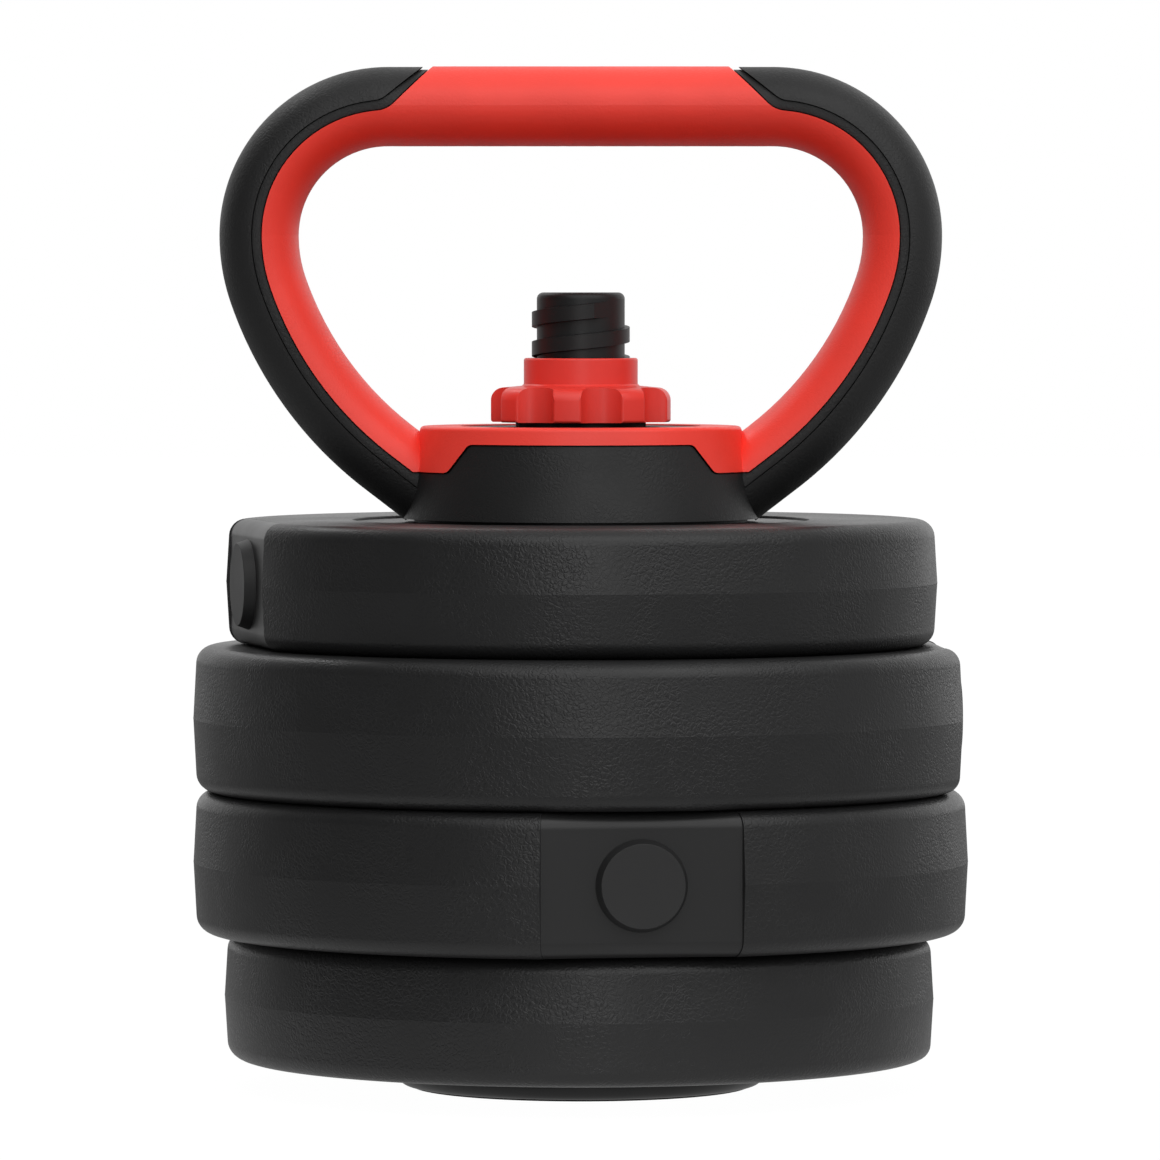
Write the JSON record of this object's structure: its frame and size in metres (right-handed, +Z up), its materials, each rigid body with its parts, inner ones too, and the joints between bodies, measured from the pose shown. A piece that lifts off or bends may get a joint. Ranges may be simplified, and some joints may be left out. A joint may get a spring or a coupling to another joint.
{
  "type": "adjustable kettlebell",
  "caption": "Adjustable kettlebell: filled plates stacked on a threaded post with a round foot, clamped under a loop handle by a star nut.",
  "frame": {"origin": "centre of the foot's underside, on the post's axis", "axes": "+Z up along the post, +X along the handle's width, -Y to the front; the handle's loop lies in the XZ plane"},
  "size_m": [0.2, 0.2, 0.2632],
  "materials": {
    "plate_plastic": "satin",
    "plug_plastic": "satin",
    "cement": "matte",
    "base_plastic": "satin",
    "handle_plastic": "satin",
    "cover_black": "matte",
    "grip_red": "satin",
    "nut_plastic": "satin",
    "steel": "satin",
    "pad_rubber": "matte"
  },
  "bodies": {
    "base": {"foot_pad": "pad_rubber", "base_post": "base_plastic", "steel_core": "steel", "core_screws": "steel"},
    "nut_carriage": {"nut_gasket": "pad_rubber"},
    "nut": {"star_nut": "nut_plastic"},
    "handle": {"handle_frame": "handle_plastic", "handle_rod": "steel", "red_grip": "grip_red", "cover_left": "cover_black", "cover_right": "cover_black"},
    "plate_1": {"plate_1_shell": "plate_plastic", "plate_1_cement": "cement", "plate_1_plug": "plug_plastic"},
    "plate_2": {"plate_2_shell": "plate_plastic", "plate_2_cement": "cement", "plate_2_plug": "plug_plastic"},
    "plate_3": {"plate_3_shell": "plate_plastic", "plate_3_cement": "cement", "plate_3_plug": "plug_plastic"},
    "plate_4": {"plate_4_shell": "plate_plastic", "plate_4_cement": "cement", "plate_4_plug": "plug_plastic"}
  },
  "joints": [
    {"name": "nut_lift", "type": "slide", "parent": "base", "child": "nut_carriage", "axis": [0, 0, 1], "range_m": [0, 0.0267]},
    {"name": "nut_spin", "type": "hinge", "parent": "nut_carriage", "child": "nut", "pos_m": [0, 0, 0.176], "axis": [0, 0, 1], "range_deg": [0, 1260]},
    {"name": "handle_swivel", "type": "hinge", "parent": "base", "child": "handle", "pos_m": [0, 0, 0.158], "axis": [0, 0, 1], "continuous": true},
    {"name": "plate_1_turn", "type": "hinge", "parent": "base", "child": "plate_1", "pos_m": [0, 0, 0.13], "axis": [0, 0, 1], "continuous": true},
    {"name": "plate_2_turn", "type": "hinge", "parent": "base", "child": "plate_2", "pos_m": [0, 0, 0.0955], "axis": [0, 0, 1], "continuous": true},
    {"name": "plate_3_turn", "type": "hinge", "parent": "base", "child": "plate_3", "pos_m": [0, 0, 0.0585], "axis": [0, 0, 1], "continuous": true},
    {"name": "plate_4_turn", "type": "hinge", "parent": "base", "child": "plate_4", "pos_m": [0, 0, 0.024], "axis": [0, 0, 1], "continuous": true}
  ],
  "couplings": [
    {"joint": "nut_lift", "follows": "nut_spin", "m_per_rad": 0.0012096}
  ]
}
